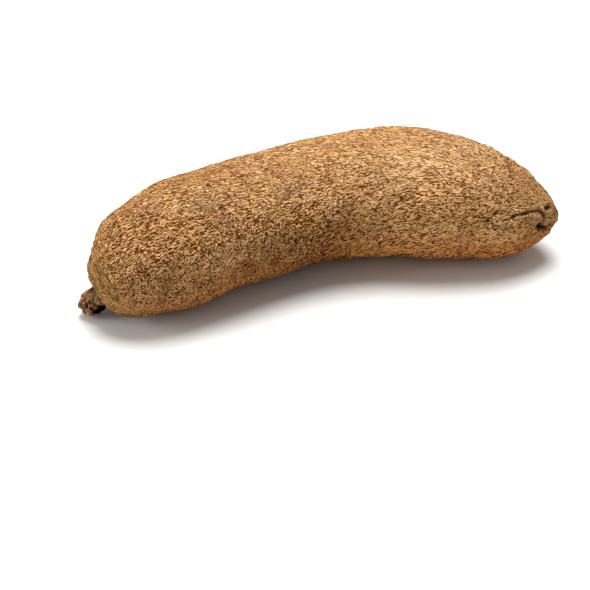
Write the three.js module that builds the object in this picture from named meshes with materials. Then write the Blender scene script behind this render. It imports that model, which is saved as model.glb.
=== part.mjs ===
// A whole yam tuber lying on a flat surface: one solid, as it grew.
//
// Millimetres, +Z up, the tuber's length along X with its crown at -X, origin in the middle of its
// bounding box on the surface it lies on.
//
// The skin is a box-shaped grid wrapped round a bent spine. The four long sides of the box become
// the girth, and its two end faces become the rounded ends, so that no ring of thin triangles
// meets at a point. A ring of the grid is one section across the spine.

import * as THREE from "three";
import { mergeVertices } from "three/addons/utils/BufferGeometryUtils.js";

// ---- Driving dimensions, in millimetres ----

// The middle of the sections, from the crown's knob to the root tip, as seen from above (x, y)
// with the height above the surface (z). It bends sideways and arches a little.
const SPINE = [
  [-176.5, -32, 7],
  [-166.5, -31, 10.5],
  [-157.5, -31, 17.5],
  [-147.5, -32.5, 26],
  [-128, -29.5, 35.5],
  [-91, -18, 40],
  [-52, -9, 41.5],
  [-4, -3, 42.5],
  [51, -8, 43.5],
  [85, -22, 41.5],
  [118, -39, 34.5],
  [139, -49, 32],
  [157, -58, 33],
];

// Distance along the spine and radius of the outline, from the middle of the crown's knob, over
// its neck, round the body and down to the groove and button of the root tip.
const OUTLINE = [
  [0, 0],
  [1.5, 6],
  [5, 9],
  [9.5, 9.5],
  [14.5, 8],
  [18.5, 8.5],
  [19.5, 13],
  [21, 17.5],
  [25, 22.8],
  [32, 28.3],
  [42.5, 34.2],
  [57, 39.6],
  [76, 43],
  [103.5, 43.5],
  [143.5, 42.5],
  [183.5, 44],
  [228.5, 46],
  [265.5, 46],
  [290.5, 43.5],
  [307.5, 40],
  [321.5, 35.5],
  [333.5, 30.5],
  [342.5, 25.5],
  [349.5, 21],
  [354.5, 17],
  [357, 13.5],
  [356.5, 10.5],
  [358.5, 8.5],
  [361.5, 6],
  [363, 0],
];

// Yams are seldom round: a section's half width and half height, as shares of its radius.
const WIDTH_SHARE = 1.05;
const HEIGHT_SHARE = 0.95;

// How many cells the box-shaped grid has along the tuber and across each of its sides.
const CELLS_ALONG = 42;
const CELLS_ACROSS = 14;
// The stretches of outline, measured along its curve, that the two end faces of the grid cover,
// and how strongly their rings draw together towards the middle, where the ends have more shape.
const CROWN_END = 44;
const TIP_END = 46;
const END_CROWDING = 1.25;

// The underside is flattened where it lies: what would come below the surface is pressed flat,
// with an easing of this much above and below it.
const FLAT_BLEND = 0.5;

// Slow swellings of the body: waves along the length, turns round the girth, phase and height.
const SWELLINGS = [
  { waves: 2.1, turns: 1, phase: 0.6, height: 1.1 },
  { waves: 3.4, turns: 2, phase: 2.3, height: 0.9 },
  { waves: 5.2, turns: 3, phase: 4.4, height: 0.55 },
];

// A shallow furrow along the front of the tip's half, ending in the pinch beside the root tip.
const FURROW = { from: 235, to: 333, angle: -2.72, width: 0.3, depth: 2.4 };

// ---- Curves ----

const spine = new THREE.CatmullRomCurve3(SPINE.map((p) => new THREE.Vector3(...p)));
const outline = new THREE.SplineCurve(OUTLINE.map((p) => new THREE.Vector2(...p)));
spine.arcLengthDivisions = outline.arcLengthDivisions = 2000;
const outlineLength = outline.getLength();

const smoothstep = THREE.MathUtils.smoothstep;

// ---- The grid ----

// Where a corner of the box-shaped grid sits on the tuber: how far along the outline's curve, and
// at which angle round the spine. The grid runs from -1 to 1 each way.
function placeOnOutline(x, y, z) {
  const reach = Math.max(Math.abs(y), Math.abs(z));
  const angle = angleOnSquare(y, z, reach);
  if (x <= -1) return { along: reach ** END_CROWDING * CROWN_END, angle };
  if (x >= 1) return { along: outlineLength - reach ** END_CROWDING * TIP_END, angle };
  const share = (x + 1) / 2;
  return {
    along: THREE.MathUtils.lerp(CROWN_END, outlineLength - TIP_END, share),
    angle,
  };
}

// The angle of a point on a square ring, with equal steps along a side giving equal angles.
function angleOnSquare(y, z, reach) {
  if (reach === 0) return 0;
  const eighth = Math.PI / 4;
  if (y >= Math.abs(z)) return eighth * (z / reach);
  if (z >= Math.abs(y)) return 2 * eighth - eighth * (y / reach);
  if (-y >= Math.abs(z)) return 4 * eighth - eighth * (z / reach);
  return -2 * eighth + eighth * (y / reach);
}

// ---- The form ----

function swelling(share, angle) {
  let height = 0;
  for (const s of SWELLINGS)
    height += s.height * Math.sin(2 * Math.PI * s.waves * share + s.phase) * Math.cos(s.turns * angle + s.phase);
  return height;
}

function furrow(distance, angle) {
  const run = smoothstep(distance, FURROW.from, FURROW.to);
  const off = Math.atan2(Math.sin(angle - FURROW.angle), Math.cos(angle - FURROW.angle));
  return FURROW.depth * run * Math.exp(-((off / FURROW.width) ** 2));
}

// Presses flat what would come below the surface.
function pressedFlat(z) {
  if (z >= FLAT_BLEND) return z;
  if (z <= -FLAT_BLEND) return 0;
  return (z + FLAT_BLEND) ** 2 / (4 * FLAT_BLEND);
}

function skinPoint(along, angle) {
  const { x: distance, y: radius } = outline.getPointAt(THREE.MathUtils.clamp(along / outlineLength, 0, 1));
  const share = THREE.MathUtils.clamp(distance / OUTLINE.at(-1)[0], 0, 1);
  const middle = spine.getPointAt(share);
  const tangent = spine.getTangentAt(share);
  const side = new THREE.Vector3(0, 0, 1).cross(tangent).normalize();
  const up = new THREE.Vector3().crossVectors(tangent, side);
  const fullness = Math.min(1, radius / 30);
  const r = radius + fullness * swelling(share, angle) - Math.min(1, radius / 14) * furrow(distance, angle);
  const point = middle
    .addScaledVector(side, r * WIDTH_SHARE * Math.cos(angle))
    .addScaledVector(up, r * HEIGHT_SHARE * Math.sin(angle));
  point.z = pressedFlat(point.z);
  return point;
}

// Each cell of the grid is four corners a, b, c, d split along b to d. Where a cell's corners lie
// so that this leaves a sliver, it is split along a to c instead.
function splitCellsTheFullerWay(grid) {
  const corners = grid.getAttribute("position");
  const index = grid.getIndex();
  const at = (i) => new THREE.Vector3().fromBufferAttribute(corners, i);
  const smallest = (...triangles) =>
    Math.min(...triangles.map((t) => new THREE.Triangle(...t.map(at)).getArea()));
  for (let i = 0; i < index.count; i += 6) {
    const [a, b, c, d] = [0, 1, 4, 2].map((k) => index.getX(i + k));
    if (smallest([a, b, d], [b, c, d]) >= smallest([a, b, c], [a, c, d])) continue;
    [a, b, c, a, c, d].forEach((corner, k) => index.setX(i + k, corner));
  }
}

function tuberGeometry() {
  const grid = new THREE.BoxGeometry(2, 2, 2, CELLS_ALONG, CELLS_ACROSS, CELLS_ACROSS);
  const corners = grid.getAttribute("position");
  for (let i = 0; i < corners.count; i++) {
    const { along, angle } = placeOnOutline(corners.getX(i), corners.getY(i), corners.getZ(i));
    const p = skinPoint(along, angle);
    corners.setXYZ(i, p.x, p.y, p.z);
  }
  splitCellsTheFullerWay(grid);
  grid.deleteAttribute("normal");
  grid.deleteAttribute("uv");
  const merged = mergeVertices(grid, 1e-3);
  merged.computeVertexNormals();
  merged.computeBoundingBox();
  const middle = merged.boundingBox.getCenter(new THREE.Vector3());
  return merged.translate(-middle.x, -middle.y, -merged.boundingBox.min.z);
}

// ---- Materials ----

const corkySkin = new THREE.MeshStandardMaterial({ color: 0xa87a4e, roughness: 0.9, metalness: 0 });

// ---- The part ----

const yam = new THREE.Mesh(tuberGeometry(), corkySkin);
yam.name = "yam";

const part = new THREE.Group();
part.add(yam);

export default part;
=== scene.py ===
# %% [markdown]
# # A whole yam tuber
#
# A yam is one swollen root: a thick bent body, a woody knob where the stem broke off, and a blunt
# pinched tip. It has no parts to put together, so nearly all the work is in its skin. The plan is
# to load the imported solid, refine a copy of it until it is fine enough to carry real bark, find
# out which way the grain runs on every bit of it, and then raise folds, flakes and warts on it.
# The colour follows the same relief, so that light and paint agree.

import math

import bmesh
import bpy
import numpy as np
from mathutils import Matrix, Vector, noise


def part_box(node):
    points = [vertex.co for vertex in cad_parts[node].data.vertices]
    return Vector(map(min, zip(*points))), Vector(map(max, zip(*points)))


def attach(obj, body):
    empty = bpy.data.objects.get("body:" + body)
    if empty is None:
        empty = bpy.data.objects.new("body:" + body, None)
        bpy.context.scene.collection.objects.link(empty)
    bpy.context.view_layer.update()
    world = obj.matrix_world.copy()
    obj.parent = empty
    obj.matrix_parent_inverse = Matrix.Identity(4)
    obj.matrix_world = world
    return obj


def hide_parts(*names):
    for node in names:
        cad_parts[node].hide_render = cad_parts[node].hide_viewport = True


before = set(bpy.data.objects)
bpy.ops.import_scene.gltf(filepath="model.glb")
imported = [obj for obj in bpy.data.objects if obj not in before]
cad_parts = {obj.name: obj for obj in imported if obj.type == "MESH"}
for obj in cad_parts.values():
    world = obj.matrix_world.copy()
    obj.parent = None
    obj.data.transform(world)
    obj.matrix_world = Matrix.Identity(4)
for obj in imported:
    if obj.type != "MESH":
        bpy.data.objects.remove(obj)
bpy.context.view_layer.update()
MM = 0.001
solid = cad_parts["yam"]
low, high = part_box("yam")
print(f"solid: {len(solid.data.vertices)} corners, {(high.x - low.x) / MM:.0f} mm long")

# %% [markdown]
# ## The camera
#
# A long lens well back keeps the tuber's own proportions. It looks down from in front, a little
# from the crown's side. The point it aims at is below the tuber, which puts the tuber high in the
# picture. Placing a camera by two angles and one aim point is easier to correct later than typing
# a position and a rotation.

# %% Place the camera
AZIMUTH = math.radians(-17)
ELEVATION = math.radians(36)
LENS_LENGTH = 85  # for a frame 36 millimetres wide
CAMERA_DISTANCE = 955.4 * MM
AIM_LEFT = 12.1 * MM
AIM_BELOW = 59.8 * MM
TUBER_MIDDLE = Vector((0, 0, 45 * MM))

lens = bpy.data.cameras.new("camera")
lens.lens = LENS_LENGTH
camera = bpy.data.objects.new("camera", lens)
camera.rotation_euler = (math.pi / 2 - ELEVATION, 0, AZIMUTH)
turn = camera.rotation_euler.to_matrix()
aim = TUBER_MIDDLE + turn @ Vector((-AIM_LEFT, -AIM_BELOW, 0))
camera.location = aim + turn @ Vector((0, 0, CAMERA_DISTANCE))
bpy.context.collection.objects.link(camera)
bpy.context.scene.camera = camera
print("camera at", [round(c, 3) for c in camera.location])

# %% [markdown]
# ## A refined copy of the solid
#
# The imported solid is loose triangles. A copy of it is merged and its triangles are joined back
# into the grid of quads that it was made from, because a Subdivision Surface rounds quads evenly
# and triangles lumpily. One rounding level and two cuts in every edge then give cells of about a
# millimetre, as fine as the larger flakes need. The cuts leave flat facets, so a few light
# smoothings follow.

# %% Merge and join the copy
SAME_PLACE = 0.001 * MM  # corners closer together than this are one corner


def merged_copy(node):
    """A node's mesh with its loose triangles merged, and joined into quads where they fit."""
    copy = bmesh.new()
    copy.from_mesh(node.data)
    bmesh.ops.remove_doubles(copy, verts=copy.verts, dist=SAME_PLACE)
    bmesh.ops.join_triangles(
        copy,
        faces=copy.faces[:],
        angle_face_threshold=math.radians(60),
        angle_shape_threshold=math.radians(180),
        topology_influence=4,
    )
    return copy


cage = merged_copy(solid)
print(f"cage: {len(cage.faces)} faces, {sum(len(f.verts) == 4 for f in cage.faces)} of them quads")

# %% Round it
def object_from(mesh_builder, name):
    mesh = bpy.data.meshes.new(name)
    mesh_builder.to_mesh(mesh)
    made = bpy.data.objects.new(name, mesh)
    bpy.context.collection.objects.link(made)
    return made


def apply_modifiers(piece):
    seen = piece.evaluated_get(bpy.context.evaluated_depsgraph_get())
    mesh = bpy.data.meshes.new_from_object(seen)
    piece.modifiers.clear()
    piece.data = mesh


tuber = object_from(cage, "yam_tuber")
rounding = tuber.modifiers.new("rounding", "SUBSURF")
rounding.levels = rounding.render_levels = 1
apply_modifiers(tuber)
print(f"rounded: {len(tuber.data.polygons)} faces")

# %% Cut it fine
CUTS = 2
SMOOTHINGS = 4

skin = bmesh.new()
skin.from_mesh(tuber.data)
bmesh.ops.subdivide_edges(skin, edges=skin.edges[:], cuts=CUTS, use_grid_fill=True)
every_way = {"use_axis_x": True, "use_axis_y": True, "use_axis_z": True}
for _ in range(SMOOTHINGS):
    bmesh.ops.smooth_vert(skin, verts=skin.verts, factor=0.5, **every_way)
skin.normal_update()
print(f"skin: {len(skin.verts)} corners, {len(skin.faces)} faces")

# %% [markdown]
# ## Which way the grain runs
#
# Bark splits along the root and its flakes bend with it, so the patterns must know how far along
# the tuber a point is and on which side. The middles of slices through the solid, about one every
# centimetre, give the tuber's middle line. The knob and the tip are too uneven to slice, so each
# gives one point. The line is then smoothed many times over, until it bends as slowly as the
# tuber does.

# %% Find the middle line
SLICE_STEP = 9 * MM
CROWN_SLICE = 44 * MM  # how far in from the knob's end the first slice is
TIP_SLICE = 30 * MM  # and how far from the tip's end the last one is
KNOB_CAP = 7 * MM
TIP_CAP = 3 * MM


def slice_middle(x):
    cut = cage.copy()
    everything = cut.verts[:] + cut.edges[:] + cut.faces[:]
    made = bmesh.ops.bisect_plane(cut, geom=everything, plane_co=(x, 0, 0), plane_no=(1, 0, 0))
    rim = [np.array(v.co) for v in made["geom_cut"] if isinstance(v, bmesh.types.BMVert)]
    cut.free()
    return np.mean(rim, axis=0)


def end_middle(inside):
    return np.mean([np.array(v.co) for v in cage.verts if inside(v.co.x)], axis=0)


slices = np.arange(low.x + CROWN_SLICE, high.x - TIP_SLICE, SLICE_STEP)
knob_middle = end_middle(lambda x: x < low.x + KNOB_CAP)
tip_middle = end_middle(lambda x: x > high.x - TIP_CAP)
rough_line = np.array([knob_middle] + [slice_middle(x) for x in slices] + [tip_middle])
print(f"rough line: {len(rough_line)} points")

# %% Smooth it and give it directions
STATION_STEP = 1.5 * MM
LINE_SMOOTHINGS = 350


def distances_along(line):
    return np.concatenate([[0], np.cumsum(np.linalg.norm(np.diff(line, axis=0), axis=1))])


rough_stations = distances_along(rough_line)
even = np.arange(0, rough_stations[-1], STATION_STEP)
middle_line = np.stack([np.interp(even, rough_stations, rough_line[:, k]) for k in range(3)], axis=1)
for _ in range(LINE_SMOOTHINGS):
    middle_line[1:-1] = (middle_line[:-2] + 2 * middle_line[1:-1] + middle_line[2:]) / 4
directions = np.gradient(middle_line, axis=0)
directions /= np.linalg.norm(directions, axis=1)[:, None]
stations = distances_along(middle_line)
line_length = stations[-1]
print(f"middle line: {line_length / MM:.0f} mm, {len(stations)} stations")

# %% [markdown]
# Every point of the skin now gets its distance along that line, its angle round it, and its
# distance from it. Taking the nearest of the stations would tear the pattern on the inside of the
# bend. So the place where the point is square to the line is solved for, between one station and
# the next, or a little past the line's ends.

# %% Place every point of the skin along the line
PAST_THE_END = 20  # how many steps the line may be carried on past its ends
BATCHES = 12  # the points go through in batches, because each meets every station


def along_line(points):
    """How far along the middle line each point is square to it."""
    ahead = points @ directions.T - np.sum(middle_line * directions, axis=1)
    last = np.clip((ahead >= 0).sum(axis=1) - 1, 0, len(stations) - 2)
    row = np.arange(len(points))
    here, there = ahead[row, last], ahead[row, last + 1]
    part = np.clip(here / np.maximum(here - there, 1e-9), -PAST_THE_END, PAST_THE_END)
    return stations[last] + part * (stations[last + 1] - stations[last])


skin.verts.ensure_lookup_table()
points = np.array([v.co for v in skin.verts])
along = np.concatenate([along_line(batch) for batch in np.array_split(points, BATCHES)])
share = along / line_length
print(f"along: {along.min() / MM:.0f} to {along.max() / MM:.0f} mm")

# %% And round it
def round_line(points, along):
    """The angle round the line, from the back over the top, and the distance from the line."""
    near = np.stack([np.interp(along, stations, middle_line[:, k]) for k in range(3)], axis=1)
    way = np.stack([np.interp(along, stations, directions[:, k]) for k in range(3)], axis=1)
    side = np.cross([0, 0, 1], way)
    side /= np.linalg.norm(side, axis=1)[:, None]
    up = np.cross(way, side)
    upward = np.sum((points - near) * up, axis=1)
    sideward = np.sum((points - near) * side, axis=1)
    return np.arctan2(upward, sideward), np.hypot(upward, sideward)


angle, out = round_line(points, along)
print(f"out from the line: up to {out.max() / MM:.0f} mm")

# %% [markdown]
# Over the ends the skin turns in towards the line, so distance along the line alone would squeeze
# the grain there. Adding how far the skin has come in gives nearly the distance walked on the
# skin.
#
# The flakes also fan out: along one line, high on the front, they run straight, and the further
# round from that line, the more they lean away from it. Such a fan cannot go on for long
# before the flakes get too wide or too narrow. So it is started afresh every few centimetres, two
# rows of fans overlap like bricks, and each gives way to the other where it would end. The
# squares of the two rows' strengths add up to 1, which keeps the bark equally strong all along.

# %% Fan the grain out
FULL_RADIUS = 44 * MM  # where the skin is this far out, the grain's width is true
FAN = 0.4  # how steeply the flakes climb, a quarter turn away from the straight line
FAN_LINE = math.radians(130)  # where round the body they run straight
FAN_STEP = 60 * MM  # how far along a fan goes before it is started afresh


def ease(low_edge, high_edge, value):
    """0 up to the low edge, 1 from the high edge on, and smooth between."""
    t = np.clip((value - low_edge) / (high_edge - low_edge), 0, 1)
    return t * t * (3 - 2 * t)


toward_tip = 2 * ease(0.3, 0.7, share) - 1
walked = along + toward_tip * (FULL_RADIUS - out)


def fanned(start):
    """Where the skin's points are in the fans whose middles are a start and whole steps away."""
    from_middle = (along - start + FAN_STEP / 2) % FAN_STEP - FAN_STEP / 2
    turned = (angle - FAN_LINE) / 2
    spread = np.exp(FAN * from_middle / FULL_RADIUS)
    fan_angle = 2 * np.arctan2(np.sin(turned) * spread, np.cos(turned))
    across, upward = FULL_RADIUS * np.cos(fan_angle), FULL_RADIUS * np.sin(fan_angle)
    return np.stack([walked, across, upward], axis=1) / MM


fan_phase = np.pi * along / FAN_STEP
first_row = np.abs(np.cos(fan_phase))
second_row = np.abs(np.sin(fan_phase))
print(f"fans: {line_length / FAN_STEP:.1f} in a row")

# %% [markdown]
# Last, the grain is made to wander, as bark never runs straight for long. It wanders slowly, and
# quickly too, most of all on the crown's half, where the bark is scalier. Noise on the grain is
# then the noise of both rows of fans, each as strong as its row is there.

# %% Let the grain wander
SLOW_WANDER = [1.5, 1.6, 1.6]  # millimetres along the grain, and across it both ways
QUICK_WANDER = [0.6, 0.8, 0.8]
OTHER_NOISE = 400  # moves the second row's grain to where the noise is another


def noise_on(where, *sizes):
    """Smooth noise from -1 to 1, its features as large as the sizes given for each direction."""
    return np.array([noise.noise(p) for p in (where / np.array(sizes)).tolist()])


def wander(where, length, width):
    """Noise of its own in each direction, to bend the grain with."""
    return np.stack([noise_on(where + shift, length, width, width) for shift in (0, 40, 80)], axis=1)


def wandering(straight):
    bent = straight + wander(straight, 16, 9) * SLOW_WANDER
    return bent + wander(bent, 5, 4) * QUICK_WANDER * (0.35 + 0.65 * crown_half)[:, None]


crown_half = 1 - ease(0.25, 0.6, share)
first_grain = wandering(fanned(0))
second_grain = wandering(fanned(FAN_STEP / 2)) + OTHER_NOISE
print("grain:", first_grain.min(axis=0).round(), first_grain.max(axis=0).round())


# %% Noise along the grain
def grain_noise_on(length, width, shift=0):
    """Noise with its features a length along the grain and a width across it, in millimetres."""
    rows = [noise_on(grain + shift, length, width, width) for grain in (first_grain, second_grain)]
    return rows[0] * first_row + rows[1] * second_row


long_flakes = grain_noise_on(9, 1.9)
scales = grain_noise_on(2.8, 1.8, 200)
print(f"long flakes: {long_flakes.std():.2f}, scales: {scales.std():.2f}, either way from nothing")

# %% [markdown]
# ## The tuber's own lumps
#
# Before any bark, the body is not smooth: it has slow lumps, and dents where it pressed against
# stones. Each is a height in millimetres for every point of the skin. Heights add up, so each can
# be made, looked at and changed by itself. A lump at one place needs no modelling by hand: its
# height falls off with the distance from a point on the skin.

# %% Slow lumps and dents
places = points / MM


def nearness(place, reach):
    """1 at a place on the skin, easing to 0 at the reach from it, in millimetres."""
    return 1 - ease(0, 1, np.linalg.norm((places - place) / reach, axis=1))


slow_lumps = 0.9 * noise_on(places, 30, 24, 24) + 0.5 * noise_on(places + 50, 12, 10, 10)
slow_lumps += 2.4 * nearness((136, -20, 66), (36, 26, 26)) + 1.8 * nearness((-102, 6, 78), (32, 24, 24))
dents = -1.0 * nearness((-1, -33, 52), 7) - 0.9 * nearness((6, -34, 39), 9)
dents -= 0.8 * nearness((-101, -46, 61), 5) + 0.9 * nearness((-142, -45, 43), 3)
dents -= 2.2 * nearness((147, -51, 20), (26, 20, 16))
print(f"slow lumps up to {slow_lumps.max():.1f} mm, dents to {dents.min():.1f} mm")

# %% [markdown]
# Where the body swells out from under the crown, the skin is wrinkled in rings, closer together
# than the mesh can hold. So the mesh gets only their slow swells, and the finish draws the
# wrinkles. Both follow one distance from the crown, made uneven with noise, so they keep together.

# %% Wrinkles round the crown
SWELL = 0.5

walked_mm = walked / MM
around_crown = ease(-12, -4, walked_mm) * (1 - ease(8, 24, walked_mm))
rings = walked_mm + 2.6 * noise_on(places, 14, 12, 12) + 0.8 * noise_on(places, 5, 5, 5)
swells = SWELL * around_crown * np.sin(rings)
print(f"wrinkled share of the skin: {(around_crown > 0.5).mean():.2f}")

# %% [markdown]
# ## The pinched tip
#
# At the root's end the skin folds in on itself: a crease runs in along the side, turns down round a lumpy
# button, and ends in a hollow under it. Cutting such folds as geometry would tie them to the mesh's own
# edges. Instead, each fold is a path of a few points, which are first moved onto the skin. The distance
# to the path then gives a groove, deepest on the path, and later the painted shade in it. A little noise
# in the distance makes the edges of a fold uneven.

# %% Folds as paths on the skin
def on_skin(place):
    """The point of the skin that is nearest to a place."""
    return places[np.argmin(np.linalg.norm(places - place, axis=1))]


def distance_to_path(path):
    """How far every point of the skin is from a path of straight stretches, in millimetres."""
    laid = [on_skin(place) for place in path]
    nearest = np.full(len(places), np.inf)
    for start, end in zip(laid[:-1], laid[1:]):
        run = np.subtract(end, start)
        part = np.clip((places - start) @ run / (run @ run), 0, 1)
        nearest = np.minimum(nearest, np.linalg.norm(places - start - part[:, None] * run, axis=1))
    return nearest


wobble = 0.35 * noise_on(places, 2.6, 2.6, 2.6)


def fold(path, width):
    """1 on the path, falling smoothly to nothing about the width away."""
    return np.exp(-(((distance_to_path(path) + wobble) / (0.55 * width)) ** 2))


print(f"the edges of folds move by up to {np.abs(wobble).max():.2f} mm")

# %% The folds at the tip
pinch_path = [(123, -56, 49), (129, -55, 49), (134, -54, 48), (141, -51, 47), (146, -50, 46)]
pit_path = [(152, -47, 45), (158, -44, 44)]
turned_path = [(148, -50, 45), (150, -51, 42), (151, -52, 39), (148, -55, 36), (146, -56, 35)]
pinch = fold(pinch_path, 2.1)
pit = fold(pit_path, 2.5)
turned_down = fold(turned_path, 2.0)
button_edge = fold([(154, -50, 42), (156, -50, 36), (155, -51, 32)], 1.7)
hollow = fold([(146, -56, 36), (150, -54, 33), (154, -52, 31)], 5.0)
cracks = fold([(105, -57, 49), (106, -56, 51)], 2.2) + fold([(110, -55, 53), (113, -55, 54)], 2.0)
tip_folds = -2.6 * pinch - 3.2 * pit - 2.4 * turned_down - 1.8 * button_edge - 4.2 * hollow - 1.3 * cracks
lips = fold(pinch_path + pit_path, 7)
print(f"tip folds down to {tip_folds.min():.1f} mm")

# %% The button at the root's end
button = nearness((156, -48, 36), (13, 13, 15))
button_lumps = button * (1.6 * noise_on(places, 5, 5, 5) + 0.8 * noise_on(places, 2.6, 2.6, 2.6))
button_lumps += 1.3 * fold([(152, -52, 37), (153, -53, 33)], 1.8)
print(f"button on {(button > 0.3).mean():.3f} of the skin")

# %% [markdown]
# ## The creases at the crown
#
# Where the body rounds off towards the knob, two long creases run down over its front, one above
# the other. They are folds on paths, like the tip's, only thinner and shallower.

# %% Two creases at the crown
lower_path = [(-155, -24, 45), (-155, -31, 42), (-154, -37, 38), (-150, -42, 34), (-146, -46, 29)]
upper_path = [(-152, -24, 49), (-152, -32, 45), (-150, -39, 41), (-147, -44, 37)]
creases = fold(lower_path, 1.7) + 0.7 * fold(upper_path, 1.5)
print(f"creases on {(creases > 0.3).mean():.4f} of the skin")

# %% [markdown]
# ## The woody crown
#
# The stem's stump is wood, not bark: lumpy, split by deep dark cracks, and pinched in where it joins the
# root. Noise crosses nothing along thin lines, which give the cracks: broad noise gives the few deep
# ones, and finer noise a net of dark veins between them. The broad noise's high places give the lumps. A
# few things are then put in one by one: two more lumps, three small holes, and a dark lower side. The
# darkness of the cracks, veins, holes, neck and lower side is painted shade, and partly the wood's own
# dark colour.

# %% Where the wood and its cracks are
out_mm = out / MM
along_mm = along / MM
wood = (1 - ease(13, 18, along_mm)) * (1 - ease(11, 14, out_mm))
clumps = np.abs(noise_on(places + 9, 6.5, 6.5, 6.5))
veins = np.abs(noise_on(places + 15, 3.4, 3.4, 3.4))
crack = np.maximum(1 - ease(0.02, 0.12, clumps), 0.8 - 0.8 * ease(0.0, 0.12, veins)) * wood
neck = np.exp(-(((along_mm - 13) / 2.5) ** 2)) * (1 - ease(12, 16, out_mm))
print(f"wood on {wood.mean():.3f} of the skin, cracks on {crack.mean():.4f}")

# %% Lump and pit the knob
knob_lumps = wood * (3.4 * clumps - 0.9 + 0.8 * noise_on(places, 2.6, 2.6, 2.6)) - 2.0 * neck
knob_lumps += 1.6 * wood * nearness((-156, -26, 9), 9) + 1.6 * wood * nearness((-158, -16, 20), 6)
holes = nearness((-161, -23, 15), 2.6) + nearness((-161, -25, 11), 2.8) + nearness((-164, -23, 13), 2.4)
knob_lumps -= 1.8 * holes
# Painted shade, partly dark wood as well: near black on the knob's lower side, in its holes, cracks and
# pinched neck.
knob_shade_and_dark_wood = 1.4 * nearness((-154, -25, 9), 6.5) + 0.9 * nearness((-158.5, -25, 9.5), 3.5)
knob_shade_and_dark_wood = np.clip(knob_shade_and_dark_wood + 1.0 * holes + 0.85 * crack + 0.7 * neck, 0, 1)
print(f"knob: lumps of {knob_lumps.min():.1f} to {knob_lumps.max():.1f} mm")

# %% [markdown]
# ## Raising the bark
#
# The flakes are noise that is long along the grain and narrow across it. Where that noise crosses
# nothing, a crevice opens; where it is strong, either way, a flake stands proud. Towards the
# crown, though less on the top, the long flakes give way to short scales. Keeping the signed noise
# on the mesh lets the finish find the same crevices later.

# %% Long flakes and scales
underneath = -np.sin(angle)
scaly = np.clip(crown_half * (0.35 + ease(-0.9, 0.3, underneath)), 0, 1)
flakes = long_flakes * (1 - scaly) + scales * scaly
print(f"scaly share of the skin: {(scaly > 0.5).mean():.2f}")

# %% [markdown]
# Bark is not equally rough all over. Its depth varies slowly, with noise. On the body's top and
# back, and on one lobe of the tip's half, it is calmer, as if rubbed. In three patches it is
# coarser, and the scales are a little flatter than the long flakes.

# %% How deep the bark is
depth = 0.7 + 0.5 * noise_on(places + 70, 8, 8, 8)
smooth_lobe = nearness((95, -52, 32), (60, 30, 26))
top_side = ease(0.3, 0.95, np.sin(angle))
back_side = 0.8 * ease(-0.1, 0.7, np.cos(angle))
# The calm top and back are also the side that the lamp lights. Kept for the finish, this mask gives
# painted light there: paler crevices.
calm_and_lit_side = np.maximum(top_side, back_side)
calm_and_lit_side *= ease(0.1, 0.25, share) * (1 - ease(0.8, 0.9, share))
coarse = 1.6 * nearness((128, -42, 58), (32, 24, 18)) + nearness((-110, -30, 66), (40, 26, 20))
coarse += 0.6 * nearness((75, -45, 62), (36, 20, 16))
depth *= (1 - 0.5 * smooth_lobe) * (1 - 0.55 * calm_and_lit_side) * (1 + 0.3 * coarse) * (1 - 0.2 * scaly)
print(f"bark depth: {depth.min():.2f} to {depth.max():.2f} mm")

# %% [markdown]
# Small things sit on the bark: pebbly lumps, which are noise once more, warts in loose groups, and
# the dark stubs of a few side roots. Warts and stubs are round. Voronoi noise is the distance to
# the nearest of many scattered points, so it gives round spots without placing any by hand.

# %% Pebbles, warts and root stubs
def spots(cell, radius):
    """Round spots, about one in each cell, from 1 in the middle to 0 at the radius."""
    distance = np.array([noise.voronoi(p)[0][0] for p in (places / cell).tolist()]) * cell
    return 1 - ease(0, radius, distance)


pebbles = grain_noise_on(7, 4.5, 30)
warts = spots(8, 1.7) * ease(0, 0.25, noise_on(places + 5, 20, 20, 20) + 0.1)
stubs = spots(34, 1.3) * (1 - wood)
print(f"warts on {(warts > 0.3).mean():.3f} of the skin, stubs on {(stubs > 0.3).mean():.4f}")

# %% [markdown]
# Every height is now known, and their sum moves each point of the skin along its normal. The bark
# is left off the wood, and is weaker on the wrinkles, the button and the folds' lips. No point
# may sink through the surface that the tuber lies on.

# %% Lift the skin
FLAKE = 2.0
CREASE = 1.2

bark_lift = FLAKE * depth * (np.abs(flakes) - 0.2) + 0.5 * pebbles + 0.6 * warts + 0.9 * stubs
bark_share = (1 - wood) * (1 - 0.6 * around_crown) * (1 - 0.4 * button) * (1 - 0.3 * lips)
lift = slow_lumps * (1 - wood) + dents + swells + tip_folds + 0.7 * lips + button_lumps + knob_lumps
lift -= CREASE * creases
lift += bark_share * bark_lift
for vertex, height in zip(skin.verts, lift * MM):
    vertex.co += vertex.normal * height
    vertex.co.z = max(vertex.co.z, 0)
skin.to_mesh(tuber.data)
skin.free()
cage.free()
tuber.data.shade_smooth()
print(f"lift: {lift.min():.2f} to {lift.max():.2f} mm")

# %% [markdown]
# ## What the finish needs to know
#
# A material can read numbers that are kept on the mesh as attributes. These are the two rows' grains and
# strengths, the bark's relief, the wrinkles, and how dark, tinted or woody each place is. An attribute of
# the vector kind holds three numbers, so they are kept by threes. First come the dark places: painted
# shade in the folds, the finer ones broken here and there, then the stubs, and a few pits.

# %% Painted shade in the folds, and dark spots
# Painted shade in the folds, the pit and the hollow, the finer folds broken here and there.
broken = 0.3 + 0.7 * ease(-0.4, 0.2, noise_on(places + 20, 3.5, 3.5, 3.5))
folds = pit + 1.1 * hollow + 0.7 * creases + (pinch + turned_down + button_edge + cracks) * broken
folds = np.clip(folds, 0, 1)
pits = nearness((-75, -9, 82), 2.6) + nearness((-71, -28, 75), 4) + nearness((-157, -12, 42), 3)
dark_spots = np.clip(stubs + pits, 0, 1)
print(f"folds on {(folds > 0.3).mean():.4f} of the skin, spots on {(dark_spots > 0.3).mean():.4f}")
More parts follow.
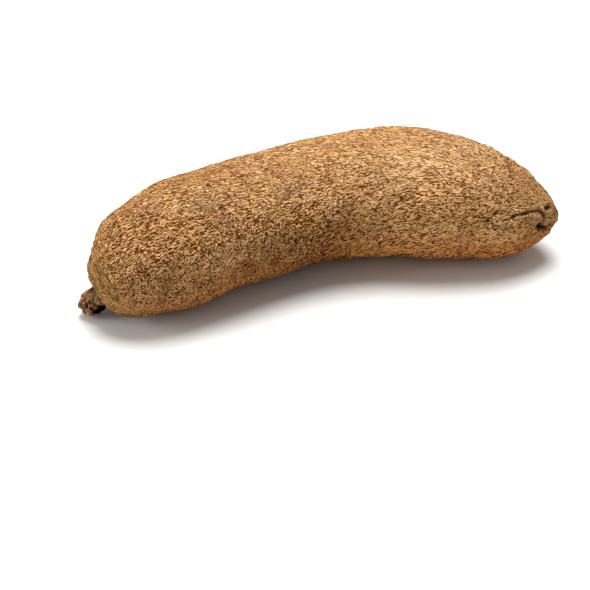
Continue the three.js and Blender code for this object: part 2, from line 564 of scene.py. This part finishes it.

# %% [markdown]
# Then the slow tints: pale, rusty and grey patches, painted shade in blotches low on the front, painted
# shade on the lower side, which is partly soil as well, and painted shade on the underside, which makes
# it redder. The tops of the lips round the tip's folds are rubbed pale, as the warts are.

# %% Tints, and painted shade low on the front
pale = nearness((60, -18, 80), (42, 26, 26)) + 0.9 * nearness((105, -18, 82), (32, 26, 22))
pale += 0.5 * nearness((115, -58, 33), (34, 16, 18))
rust = nearness((45, 5, 84), (50, 20, 20)) + 0.9 * nearness((100, -50, 56), (34, 22, 16))
grey = nearness((-21, -18, 74), (16, 12, 12)) + nearness((-83, -25, 76), (18, 10, 10))
grey += 0.5 * nearness((-118, -27, 73), (30, 22, 18))
# Painted shade in blotches low on the front.
front_shade_blotches = nearness((7, -32, 46), (16, 14, 24)) + nearness((-45, -40, 38), (60, 20, 22))
front_shade_blotches += 0.8 * nearness((-112, -54, 38), (52, 20, 28))
front_shade_blotches *= np.clip(0.75 + noise_on(places, 9, 9, 7), 0, 1)
print("tinted shares:", [round(float((t > 0.3).mean()), 3) for t in (pale, rust, grey, front_shade_blotches)])

# %% Painted shade low down, and pale tops
# Painted shade on the underside, which the finish makes redder and darker.
painted_underside_shade = ease(-0.35, 0.8, underneath)
# Painted shade on the lower side towards the crown, partly soil as well.
low_side_shade_and_soil = ease(-0.6, 0.7, underneath) * (1 - 0.8 * ease(0.5, 0.7, share))
rubbed = ease(-0.1, 0.2, noise_on(places + 40, 3.2, 3.2, 3.2))
pale_lips = 1.1 * (lips + 0.5 * button) * rubbed
print(f"pale lips on {(pale_lips > 0.3).mean():.4f} of the skin")

# %% [markdown]
# Broken wood weathers unevenly, so the knob has one red place, a grey edge and two yellow places.

# %% The knob's own colours, and keep it all
def keep(name, *values):
    """Three numbers for every point of the skin, kept on the mesh under a name."""
    kept = tuber.data.attributes.new(name, "FLOAT_VECTOR", "POINT")
    kept.data.foreach_set("vector", np.stack(values, axis=1).astype(np.float32).ravel())


reddish = nearness((-160, -18, 18), 3.2)
greyed = fold([(-161, -12, 17), (-165, -16, 15), (-167, -17, 12), (-166, -18, 9)], 3.2)
yellowed = nearness((-157, -22, 18), 4.2) + 0.5 * nearness((-162, -23, 5), 4)
keep("first_grain", *first_grain.T)
keep("second_grain", *second_grain.T)
keep("rows", first_row, second_row, painted_underside_shade)
keep("relief", flakes, scaly, wood)
keep("crown", rings, around_crown, calm_and_lit_side - 0.8 * coarse)
keep("dark", folds, knob_shade_and_dark_wood, dark_spots)
keep("tints", pale, rust, grey)
keep("places", low_side_shade_and_soil, front_shade_blotches, warts + pale_lips)
keep("knob", reddish, greyed, yellowed)
print("attributes:", [a.name for a in tuber.data.attributes if a.data_type == "FLOAT_VECTOR"])

# %% [markdown]
# ## Writing a finish as sums
#
# A finish is a small program made of nodes. Written out node by node it is long and hard to
# follow, so a small class lets the sums be written as sums: each one adds its own Math node.

# %% Sums on node outputs
class Wire:
    """A node's output. A sum written with wires adds the Math nodes that work it out."""

    def __init__(self, finish, socket):
        self.finish = finish
        self.socket = socket

    def maths(self, operation, *values):
        return self.finish.node("Math", {"operation": operation}, values)

    def __add__(self, other):
        return self.maths("ADD", self, other)

    def __radd__(self, other):
        return self.maths("ADD", other, self)

    def __sub__(self, other):
        return self.maths("SUBTRACT", self, other)

    def __rsub__(self, other):
        return self.maths("SUBTRACT", other, self)

    def __mul__(self, other):
        return self.maths("MULTIPLY", self, other)

    def __rmul__(self, other):
        return self.maths("MULTIPLY", other, self)

    def __abs__(self):
        return self.maths("ABSOLUTE", self)


# %% [markdown]
# Every other node comes from one method. It takes the node's type, its settings, which have to be
# set first because they can change which sockets there are, and what goes into its sockets.

# %% Nodes from one method
class Finish:
    """A material whose nodes all come from one method."""

    def __init__(self, name):
        self.material = bpy.data.materials.new(name)
        self.material.use_nodes = True
        self.tree = self.material.node_tree
        self.tree.nodes.clear()

    def node(self, kind, settings=None, values=(), output=0):
        """A new node's output, after its settings, then its inputs by order or by name."""
        made = self.tree.nodes.new("ShaderNode" + kind)
        for name, setting in (settings or {}).items():
            setattr(made, name, setting)
        sockets = [s for s in made.inputs if s.enabled]
        if isinstance(values, dict):
            named = {s.name: s for s in sockets}
            pairs = [(named[name], value) for name, value in values.items()]
        else:
            pairs = list(zip(sockets, values))
        for socket, value in pairs:
            if isinstance(value, Wire):
                self.tree.links.new(value.socket, socket)
            else:
                socket.default_value = value
        outputs = [s for s in made.outputs if s.enabled]
        return Wire(self, outputs[output]) if outputs else None

    def kept(self, name):
        """The three parts of an attribute kept on the mesh."""
        vector = self.node("Attribute", {"attribute_name": name}, output=1)
        return [self.node("SeparateXYZ", {}, [vector], output=k) for k in range(3)]

    def between(self, value, start, end):
        """0 up to the start, 1 from the end on, and smooth between."""
        return self.node("MapRange", {"interpolation_type": "SMOOTHSTEP"}, [value, start, end, 0.0, 1.0])

    def mix(self, factor, first, second, blend="MIX"):
        settings = {"data_type": "RGBA", "blend_type": blend}
        return self.node("Mix", settings, {"Factor": factor, "A": first, "B": second})

    def report(self, what):
        print(f"{self.material.name}: {what}, {len(self.tree.nodes)} nodes so far")


def colour(red, green, blue):
    """A colour as painters give it, 0 to 255, turned into the light that it stands for."""
    return tuple(((c / 255 + 0.055) / 1.055) ** 2.4 for c in (red, green, blue)) + (1.0,)


# %% [markdown]
# ## The bark's finish
#
# Bark is matt and many-coloured, and most of its crevices are finer than the mesh can hold. The
# finish therefore adds noise of its own, in the same two rows of grain as the flakes on the mesh,
# so that fine crevices run with the broad ones.

# %% Bark: read what the mesh keeps
bark = Finish("corky_skin")
first_fans, second_fans, underside_shade = bark.kept("rows")
flake, scaliness, woody = bark.kept("relief")
ring, ringed, calm_lit_side = bark.kept("crown")
in_fold, shaded_dark_wood, dark_spot = bark.kept("dark")
pale_part, rusty_part, grey_part = bark.kept("tints")
low_shade_and_soil, front_shade, pale_top = bark.kept("places")
red_wood, grey_wood, yellow_wood = bark.kept("knob")
bark.report("attributes")

# %% Bark: noise along the grain
names = ("first_grain", "second_grain")
grains = [bark.node("Attribute", {"attribute_name": name}, output=1) for name in names]


def grain_noise(length, width, detail=0.0, shift=0.0):
    """Signed noise, its features a length along the grain and a width across it, in mm."""
    made = []
    for grain in grains:
        shifted = bark.node("VectorMath", {"operation": "ADD"}, [grain, (shift, shift, shift)])
        sizes = (1 / length, 1 / width, 1 / width)
        scaled = bark.node("VectorMath", {"operation": "MULTIPLY"}, [shifted, sizes])
        values = {"Vector": scaled, "Scale": 1.0, "Detail": detail}
        made.append(bark.node("TexNoise", {"normalize": False}, values))
    return made[0] * first_fans + made[1] * second_fans


fine_long = grain_noise(4.6, 0.95, detail=0.7)
fine_short = grain_noise(1.9, 1.0, detail=0.7, shift=120)
fine = fine_long * (1 - scaliness) + fine_short * scaliness
speckle = grain_noise(1.0, 0.7, detail=1.0, shift=30)
mottle = grain_noise(14, 8, detail=2.0, shift=60)
blotch = grain_noise(45, 26, detail=1.0, shift=90)
cleft = bark.between(grain_noise(11, 1.7, shift=150), -0.28, -0.5) * (1 - 0.5 * scaliness)
bark.report("noise")

# %% [markdown]
# How high each spot stands in the bark is called its rise. The noise's size, whichever way it goes, is 0
# in a crevice and largest on a flake's top. The rise gives the colour and the roughness, and the bump is
# made of the same noise, which keeps all three in step. Where the bark is ringed with wrinkles, the rise
# is drawn towards one even height. So it is on the calm top and back, where the lamp falls: there the
# evening is partly the calmer bark's own and partly painted light, crevices paled as if light filled
# them.

# %% Bark: rise
EVEN_RISE = 0.66

plate = bark.between(abs(flake), 0.0, 0.28)
fine_plate = bark.between(abs(fine), 0.0, 0.24)
bark_rise = 0.14 * plate + 0.84 * fine_plate + 0.22 * speckle - 0.2 * cleft
# On the calm, lit top and back the evening is partly painted light: crevices paled as if light filled
# them.
calmed = 1 - (1 - 0.5 * ringed) * (1 - 0.45 * calm_lit_side)
rise = bark_rise * (1 - calmed) + (EVEN_RISE + 0.25 * speckle) * calmed
bark.report("rise")

# %% [markdown]
# The wrinkles round the crown are a sine wave along the distance that the mesh's swells follow,
# and the mottling breaks them up.

# %% Bark: wrinkles round the crown
WRINKLE_STEP = 3.4  # millimetres from one wrinkle to the next

ripple = bark.node("Math", {"operation": "SINE"}, [ring * (2 * math.pi / WRINKLE_STEP)])
wrinkle = bark.between(ripple, 0.1, 0.9) * ringed * bark.between(mottle, -0.35, 0.3)
bark.report("wrinkles")

# %% [markdown]
# The colour is laid on as a painter would, one thin layer over another. First comes the body colour, from
# brown low down to pale tan on the flakes' tops, then the mottling and the slow tints. The crevices come
# after the tints, because a tint laid over them would wash them out. Their dark brown is partly the
# bark's own colour and partly painted shade, in place of the shadow that the bump can't cast.

# %% Bark: body colour, tints and crevices
body = bark.mix(bark.between(rise, 0.5, 0.88), colour(160, 102, 46), colour(228, 182, 132))
body = bark.mix(bark.between(mottle, 0.0, 0.5) * 0.4, body, colour(206, 154, 80))
body = bark.mix(bark.between(mottle, 0.0, -0.5) * 0.25, body, colour(158, 102, 64))
body = bark.mix(bark.between(blotch, 0.0, 0.45) * 0.25, body, colour(184, 118, 60))
body = bark.mix(rusty_part * 0.25, body, colour(190, 122, 64))
body = bark.mix(pale_part * 0.3, body, colour(220, 182, 132))
body = bark.mix(grey_part * 0.35, body, colour(138, 122, 96))
body = bark.mix(pale_top * 0.7, body, colour(236, 194, 142))
body = bark.mix(ringed * 0.45, body, colour(218, 176, 114))
# Crevices: partly the bark's own dark colour, partly painted shade in place of the shadow that the bump
# can't cast.
body = bark.mix(bark.between(rise, 0.56, 0.2), body, colour(92, 42, 8))
bark.report("body colour")

# %% [markdown]
# Painted shade darkens whole sides of the tuber: a warmer shade away from the calm, lit top and back, a
# redder one on the underside, a deep one on the lower side towards the crown, which is partly soil as
# well, and blotches low on the front. Multiplying by a tint darkens and keeps the mottling, where mixing
# one in would flatten it. The painted shade and the soil lie deepest in the crevices, and the flakes'
# tops take less of them.

# %% Bark: painted shade on whole sides
SHADED_SIDE_TINT = (1.0, 0.95, 0.86, 1.0)  # wherever the bark isn't calm
UNDERSIDE_SHADE_TINT = (1.1, 0.84, 0.58, 1.0)
LOW_SHADE_AND_SOIL_TINT = (0.22, 0.15, 0.1, 1.0)
FRONT_SHADE_TINT = (0.3, 0.19, 0.15, 1.0)

# Painted shade and soil lie deeper in the crevices than on the flakes' tops.
shade_and_soil_in_crevices = 1 - 0.6 * bark.between(rise, 0.4, 0.9)
# Painted shade: warmer and a little darker wherever the skin is away from the calm, lit top and back.
body = bark.mix(1 - calm_lit_side, body, SHADED_SIDE_TINT, "MULTIPLY")
# Painted shade: the underside redder and darker.
body = bark.mix(underside_shade, body, UNDERSIDE_SHADE_TINT, "MULTIPLY")
# Painted shade low down towards the crown, partly soil as well.
body = bark.mix(low_shade_and_soil * shade_and_soil_in_crevices, body, LOW_SHADE_AND_SOIL_TINT, "MULTIPLY")
# Painted shade in blotches low on the front.
body = bark.mix(front_shade * shade_and_soil_in_crevices, body, FRONT_SHADE_TINT, "MULTIPLY")
bark.report("darker sides")

# %% [markdown]
# The wood of the knob covers all of that with colours of its own. Last, over bark and wood alike, come
# the knob's near-black places, which are painted shade in its lower side, holes, cracks and neck and
# partly dark wood as well, then the stubs, painted shade in the folds, and the wrinkles.

# %% Bark: wood, folds and stubs
streak = bark.between(mottle + speckle, -0.5, 0.5)
wood_tone = bark.mix(streak, colour(194, 106, 48), colour(255, 228, 178))
wood_tone = bark.mix(yellow_wood * 0.7, wood_tone, colour(248, 220, 140))
wood_tone = bark.mix(red_wood * 0.8, wood_tone, colour(244, 132, 104))
wood_tone = bark.mix(grey_wood * 0.5, wood_tone, colour(150, 146, 140))
body = bark.mix(woody, body, wood_tone)
# Painted shade on the knob's lower side, holes, cracks and neck, partly dark wood.
body = bark.mix(shaded_dark_wood, body, colour(24, 12, 8))
body = bark.mix(dark_spot, body, colour(52, 34, 22))
# Painted shade in the folds, the pit and the hollow.
body = bark.mix(in_fold * 0.95, body, colour(34, 8, 0))
body = bark.mix(wrinkle * 0.6, body, colour(84, 52, 26))
bark.report("wood and folds")

# %% [markdown]
# A Bump node stands in for relief that is finer than the mesh: the fine flakes, the clefts and the
# wrinkles. The larger flakes are left out of it, because the mesh has them already. Dry bark has no
# shine, so the shader's specular level is 0. The roughness is still given its true pattern, for other
# programs that read the material.

# %% Bark: fine relief, and the shader
BUMP_DEPTH = 1 * MM

fine_relief = 0.9 * fine_plate + 0.2 * speckle - 0.9 * wrinkle - 0.6 * cleft
roughness = 0.92 - 0.14 * rise
normal = bark.node("Bump", {}, {"Strength": 1.0, "Distance": BUMP_DEPTH, "Height": fine_relief})
dry = {"Base Color": body, "Roughness": roughness, "Normal": normal, "Specular IOR Level": 0.0}
surface = bark.node("BsdfPrincipled", {}, dry)
bark.node("OutputMaterial", {}, {"Surface": surface})
tuber.data.materials.append(bark.material)
bark.report("shader")

# %% [markdown]
# ## The table and the light
#
# A plain pale sheet and one broad lamp overhead, as over a product table. The broad lamp keeps
# the shadow soft. A weaker lamp beyond the crown's end and a pale sky keep the crevices and the
# knob from going black.

# %% Table
bpy.ops.mesh.primitive_plane_add(size=6)
floor = bpy.context.object
floor.name = "table"
paper = Finish("pale_paper")
sheet = paper.node("BsdfPrincipled", {}, {"Base Color": colour(240, 239, 236), "Roughness": 0.9})
paper.node("OutputMaterial", {}, {"Surface": sheet})
floor.data.materials.append(paper.material)
paper.report("shader")


# %% Lamps
def broad_lamp(name, place, size, power):
    """A round lamp of a size in metres and a power in watts, turned to the tuber."""
    lamp = bpy.data.lights.new(name, "AREA")
    lamp.shape = "DISK"
    lamp.size = size
    lamp.energy = power
    made = bpy.data.objects.new(name, lamp)
    made.location = place
    made.rotation_euler = (TUBER_MIDDLE - Vector(place)).to_track_quat("-Z", "Y").to_euler()
    bpy.context.collection.objects.link(made)


broad_lamp("overhead", (0.12, 0.3, 1.3), size=1.0, power=27)
broad_lamp("left_fill", (-1.3, 0.12, 0.42), size=0.8, power=9)
print("lamps:", [lamp.name for lamp in bpy.data.lights])

# %% Sky
sky = bpy.data.worlds.new("studio")
sky.use_nodes = True
sky_light = sky.node_tree.nodes["Background"].inputs
sky_light["Strength"].default_value = 0.32
sky_light["Color"].default_value = (1, 1, 1, 1)
bpy.context.scene.world = sky
bpy.context.scene.view_settings.view_transform = "Standard"
print("sky:", sky.name)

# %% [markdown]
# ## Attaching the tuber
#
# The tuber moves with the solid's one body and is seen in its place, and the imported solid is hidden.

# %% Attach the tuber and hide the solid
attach(tuber, "root")
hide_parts("yam")
